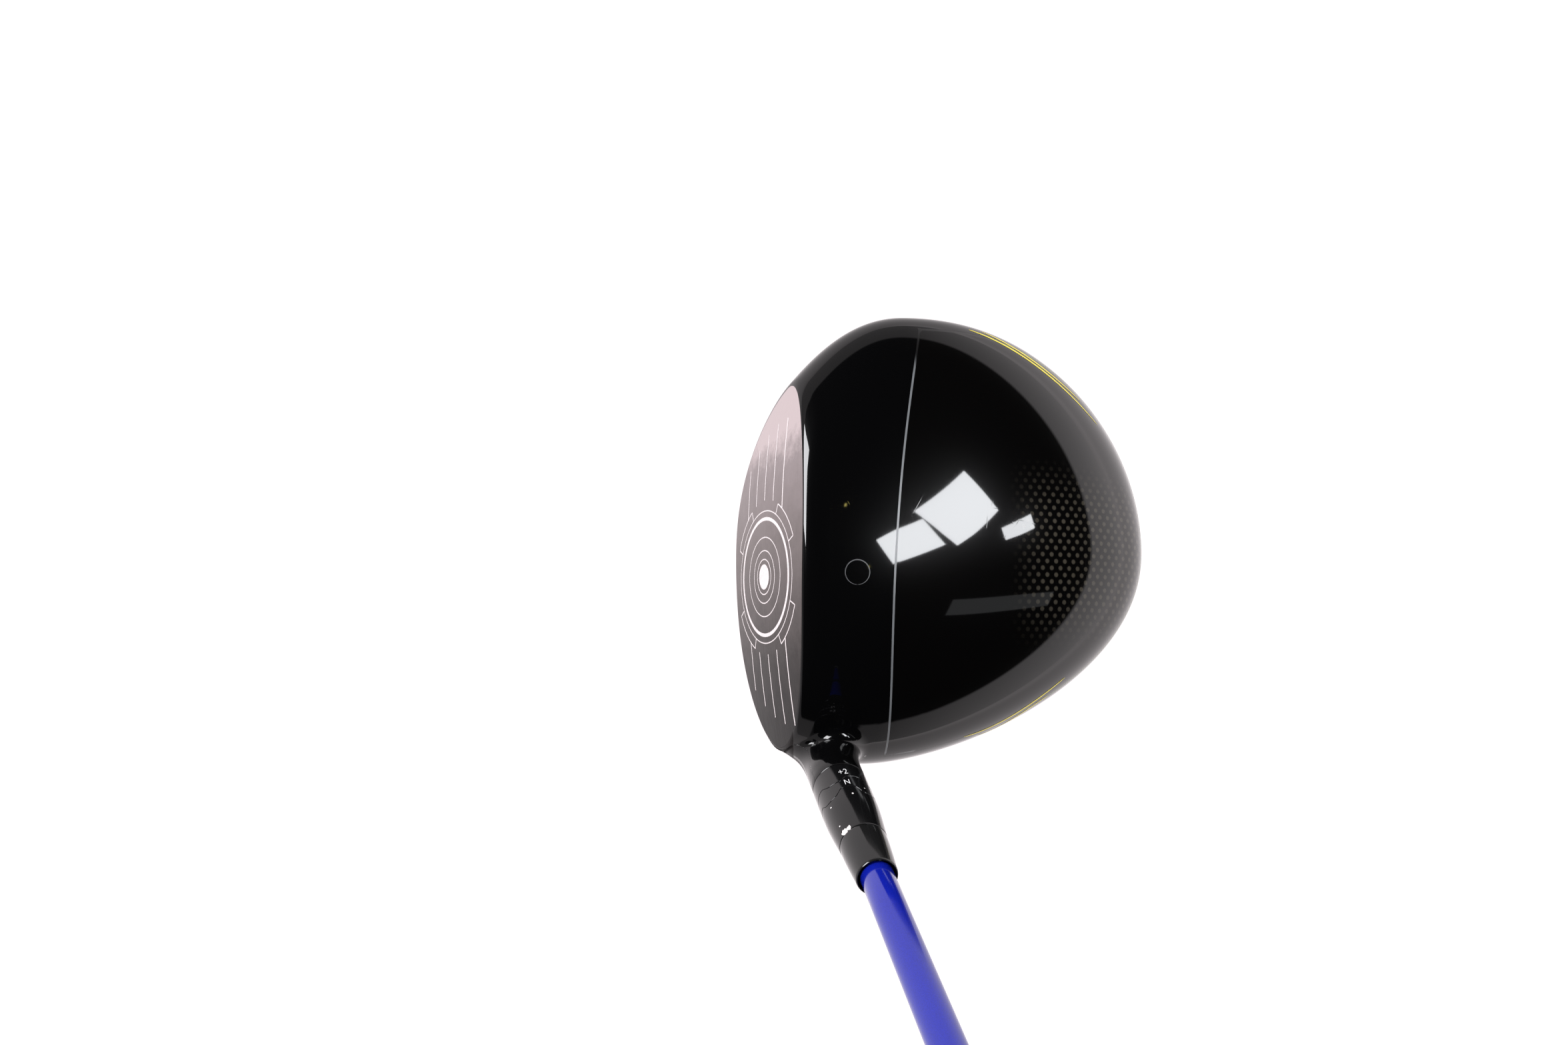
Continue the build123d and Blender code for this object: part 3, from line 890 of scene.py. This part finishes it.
# Ferrule: a collar turned from gloss black plastic, pushed down the shaft onto the end of the sleeve.
# Its upper end is hollowed round the shaft.
ferrule_paint, tree, shader = new_paint("ferrule_plastic", Base_Color=(0.006, 0.006, 0.006, 1), IOR=1.5)
worn_gloss(tree, shader, 0.08, 0.0)
ferrule_profile = [(88.55, 4.4), (88.55, 6.2), (88.65, 6.36), (88.9, 6.4), (89.0, 6.4), (93.5, 6.22),
                   (98.5, 5.9), (103.0, 5.56), (103.1, 5.55), (103.5, 5.47), (103.7, 5.3), (103.7, 5.15),
                   (103.55, 5.02), (101.3, 4.98), (100.9, 4.6), (100.8, 4.42)]
turned_piece("ferrule_collar", ferrule_profile, ferrule_paint, "club", ["ferrule"])


# Shaft: a rolled graphite tube, sprayed gloss blue under clear lacquer, with plain bands above the hosel
# and darker paint towards the grip. It is thicker walled at the tip and grows wider to the butt.
shaft_paint, tree, shader = new_paint("blue_shaft_lacquer", IOR=1.5)
where = place(tree)
along = vector_work(tree, "DOT_PRODUCT", where, tuple(shaft_line.tolist()))
foot_along = float(shaft_foot @ shaft_line) * mm
share = work(tree, "DIVIDE", work(tree, "SUBTRACT", along, foot_along), 1.2)
bands = add(tree, "ValToRGB", {"Fac": share})
bands.color_ramp.interpolation = "CONSTANT"
blue, navy = (0.003, 0.008, 0.20, 1), (0.004, 0.005, 0.03, 1)
lime, grey = (0.20, 0.42, 0.03, 1), (0.16, 0.16, 0.17, 1)
bands.color_ramp.elements[0].color = blue
bands.color_ramp.elements[1].position, bands.color_ramp.elements[1].color = 0.149, lime
for spot, tint in ((0.1515, navy), (0.176, grey), (0.178, blue), (0.60, lime), (0.603, navy),
                   (0.70, grey), (0.702, navy)):
    step = bands.color_ramp.elements.new(spot)
    step.color = tint
sparkle = span(tree, noise(tree, where, 4000.0, 1.0), 0.3, 0.7, 0.85, 1.2)
lit = add(tree, "VectorMath", {0: bands.outputs["Color"], "Scale": sparkle}, operation="SCALE")
feed(tree, lit.outputs["Vector"], shader)
feed(tree, span(tree, noise(tree, where, 90.0), 0.0, 1.0, 0.07, 0.16), shader, "Roughness")
shaft_profile = [(47.0, 2.2), (47.0, 4.25), (88.4, 4.25), (88.6, 4.38), (120.0, 4.4)]
shaft_profile += [(120 + 90 * k, 4.4 + 0.32 * k) for k in range(1, 11)]
shaft_profile += [(1152.9, 7.6), (1152.9, 6.5), (1020.0, 6.5), (500.0, 4.2)]
turned_piece("shaft_tube", shaft_profile, shaft_paint, "club", ["shaft"])


# Grip tape: sticky cloth tape wound in a spiral round the butt of the shaft, where it holds the grip on.
# It is hidden under the grip, so the solid from the CAD is shown, with a cloth finish.
tape_cloth, tree, shader = new_paint("grip_tape_cloth", Roughness=0.85)
weft = add(tree, "TexWave", {"Vector": place(tree), "Scale": 900.0, "Distortion": 1.5})
two_tone(tree, shader, weft.outputs["Fac"], (0.52, 0.49, 0.42), (0.68, 0.65, 0.57))
frame["nodes"]["grip_tape"].data.materials.clear()
frame["nodes"]["grip_tape"].data.materials.append(tape_cloth)


# Grip: a moulded rubber sleeve with shallow rows of grooves, pushed over the tape.
# It has a plain collar at the mouth and a vented cap at the butt.
rubber, tree, shader = new_paint("grip_rubber", Roughness=0.62)
where = place(tree)
two_tone(tree, shader, noise(tree, where, 220.0, 4.0), (0.012, 0.012, 0.013), (0.026, 0.026, 0.027))
bumped(tree, shader, noise(tree, where, 2500.0, 2.0), 0.4, 0.0001)
grip_marks = np.array([889.0, 890.2, 980, 1060, 1130, 1146, 1151, 1154, 1156])
grip_radii = np.array([8.79, 9.4, 11.0, 12.1, 12.9, 13.2, 14.2, 14.2, 13.0])
mouth_steps, cap_steps = [889.0, 889.5, 890.2, 893, 898], [1130, 1138, 1146, 1149, 1151, 1154, 1155.2, 1156]
grip_steps = np.concatenate([mouth_steps, np.arange(900, 1128, 0.6), cap_steps])
groove_rows, groove_pitch, groove_depth = 24, 4.8, 0.32
grip_mesh = bmesh.new()
loops = []
for s in grip_steps:
    r = np.interp(s, grip_marks, grip_radii)
    offset = math.pi if int(s / groove_pitch) % 2 else 0
    grooves = np.sin(2 * math.pi * s / groove_pitch) * np.cos(around * groove_rows + offset)
    dip = groove_depth * np.clip(grooves * 2.2 - 0.9, 0, 1) * (904 < s < 1124)
    loops.append([grip_mesh.verts.new(p) for p in on_line(np.full(ring_count, s), r - dip, around)])
for s, r in ((1156.0, 2.0), (1153.1, 2.0), (1153.1, 7.86), (1020.0, 7.86), (889.0, 7.25)):
    inside = on_line(np.full(ring_count, s), np.full(ring_count, r), around)
    loops.append([grip_mesh.verts.new(p) for p in inside])
for lower, upper in zip(loops, loops[1:] + loops[:1]):
    for k in range(ring_count):
        n = (k + 1) % ring_count
        grip_mesh.faces.new((lower[k], lower[n], upper[n], upper[k]))
bmesh.ops.recalc_face_normals(grip_mesh, faces=grip_mesh.faces)
for e in grip_mesh.edges:
    if e.calc_face_angle(0) > math.radians(50):
        e.smooth = False
make_piece("rubber_grip", grip_mesh, rubber, "club", ["grip"])


# Small metal parts shown as they are made: brace bars, rear rail, sliding weight and its clamp, screws,
# the washer under the hosel screw and the plastic clip that keeps it in.
def finish_nodes(names, paint_name, dark, light, metallic, rough_low, rough_high):
    paint, tree, shader = new_paint(paint_name, Metallic=metallic)
    grain = noise(tree, place(tree), 600.0, 4.0)
    two_tone(tree, shader, grain, dark, light)
    feed(tree, span(tree, grain, 0.0, 1.0, rough_low, rough_high), shader, "Roughness")
    bumped(tree, shader, grain, 0.2, 0.00003)
    for name in names:
        node = frame["nodes"][name]
        node.data.materials.clear()
        node.data.materials.append(paint)


finish_nodes(["brace_bar_toe", "brace_bar_heel"], "bar_titanium",
             (0.30, 0.29, 0.28), (0.42, 0.41, 0.39), 1.0, 0.28, 0.42)
finish_nodes(["weight_track"], "rail_black",
             (0.012, 0.012, 0.013), (0.03, 0.03, 0.032), 0.4, 0.3, 0.45)
finish_nodes(["sliding_weight"], "weight_steel",
             (0.40, 0.39, 0.38), (0.55, 0.54, 0.52), 1.0, 0.25, 0.4)
finish_nodes(["weight_clamp", "screw_washer"], "bright_steel",
             (0.50, 0.50, 0.50), (0.65, 0.65, 0.64), 1.0, 0.2, 0.34)
finish_nodes(["weight_screw", "hosel_screw"], "black_oxide_steel",
             (0.03, 0.03, 0.032), (0.07, 0.07, 0.072), 1.0, 0.28, 0.42)
finish_nodes(["screw_clip"], "clip_nylon",
             (0.45, 0.44, 0.41), (0.58, 0.57, 0.54), 0.0, 0.4, 0.55)


# Studio: a glowing white floor that clips to white, brighter towards the back, in a pale surround that is
# dark overhead, with softboxes above and in front. The floor is low enough for the released head.
floor_paint, tree, shader = new_paint("pale_floor", Roughness=0.9)
two_tone(tree, shader, noise(tree, place(tree), 6.0, 3.0), (0.045, 0.045, 0.045), (0.06, 0.06, 0.06))
shader.inputs["Emission Color"].default_value = (1.0, 0.935, 0.95, 1)
apart = add(tree, "SeparateXYZ", {"Vector": place(tree)})
feed(tree, span(tree, apart.outputs["Y"], 0.1, 1.2, 1.08, 1.9), shader, "Emission Strength")
floor_drop = 0.045
floor_at = (0, 0, cad_low[2] - floor_drop)
bpy.ops.mesh.primitive_grid_add(x_subdivisions=12, y_subdivisions=12, size=30.0, location=floor_at)
floor = bpy.context.object
floor.name = "studio_floor"
floor.data.materials.append(floor_paint)
floor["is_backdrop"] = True

world = bpy.data.worlds.new("studio_surround")
bpy.context.scene.world = world
world.use_nodes = True
sky = world.node_tree
sky.nodes.clear()
apart = add(sky, "SeparateXYZ", {"Vector": add(sky, "TexCoord").outputs["Generated"]})
fall = span(sky, apart.outputs["Z"], 0.34, 0.37, 1.15, 0.003)
side = span(sky, apart.outputs["Y"], 0.25, 0.95, 0.5, 1.7)
glow = add(sky, "Background", {"Color": (1.0, 0.95, 0.965, 1), "Strength": work(sky, "MULTIPLY", fall, side)})
add(sky, "OutputWorld", {"Surface": glow.outputs["Background"]})
lamp_distance = 1.5


# a lamp faces the head from an azimuth and an elevation, tilted about its own axis, all in degrees
def softbox(name, azimuth, elevation, tilt, wide, tall, radiance, tint):
    lamp = bpy.data.lights.new(name, "AREA")
    lamp.shape = "RECTANGLE"
    lamp.size, lamp.size_y = wide, tall
    lamp.energy = radiance * math.pi * wide * tall
    lamp.color = tint
    box = bpy.data.objects.new(name, lamp)
    bpy.context.scene.collection.objects.link(box)
    turned = Matrix.Rotation(math.radians(azimuth + 90), 4, "Z")
    raised = Matrix.Rotation(math.radians(90 - elevation), 4, "X")
    tilted = Matrix.Rotation(math.radians(tilt), 4, "Z")
    box.matrix_world = turned @ raised @ Matrix.Translation((0, 0, lamp_distance)) @ tilted


cool, amber = (0.95, 0.97, 1.0), (1.0, 0.85, 0.25)
softbox("large_softbox", 116, 63, 16, 0.26, 0.31, 33, cool)
softbox("second_softbox", 107.5, 73.5, 13.5, 0.17, 0.23, 33, cool)
softbox("small_softbox", 102.5, 51.5, 98, 0.25, 0.08, 30, cool)
softbox("dim_strip", 69, 49.5, 103.5, 0.77, 0.12, 0.8, cool)
softbox("front_softbox", -117, 33, 0, 0.82, 0.63, 26, (0.97, 0.97, 1.0))
softbox("ceiling_lamp_first", 167.5, 75.5, 12, 0.015, 0.018, 12, amber)
softbox("ceiling_lamp_second", 85, 81.5, 95, 0.009, 0.015, 10, amber)
bpy.context.scene.view_settings.view_transform = "Standard"

lens = bpy.data.cameras.new("studio_camera")
lens.sensor_width, lens.lens = 36.0, 46.04
camera = bpy.data.objects.new("studio_camera", lens)
bpy.context.scene.collection.objects.link(camera)
right, down = Vector((0.0242, 0.9781, 0.2067)), Vector((0.9918, 0.0025, -0.1282))
ahead = right.cross(down).normalized()
down = ahead.cross(right).normalized()
facing = Matrix((right.normalized(), -down, -ahead)).transposed()
camera.matrix_world = Matrix.Translation((0.0566, -0.1478, 0.5875)) @ facing.to_4x4()
lens.clip_start = 0.01
bpy.context.scene.camera = camera

low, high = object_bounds()
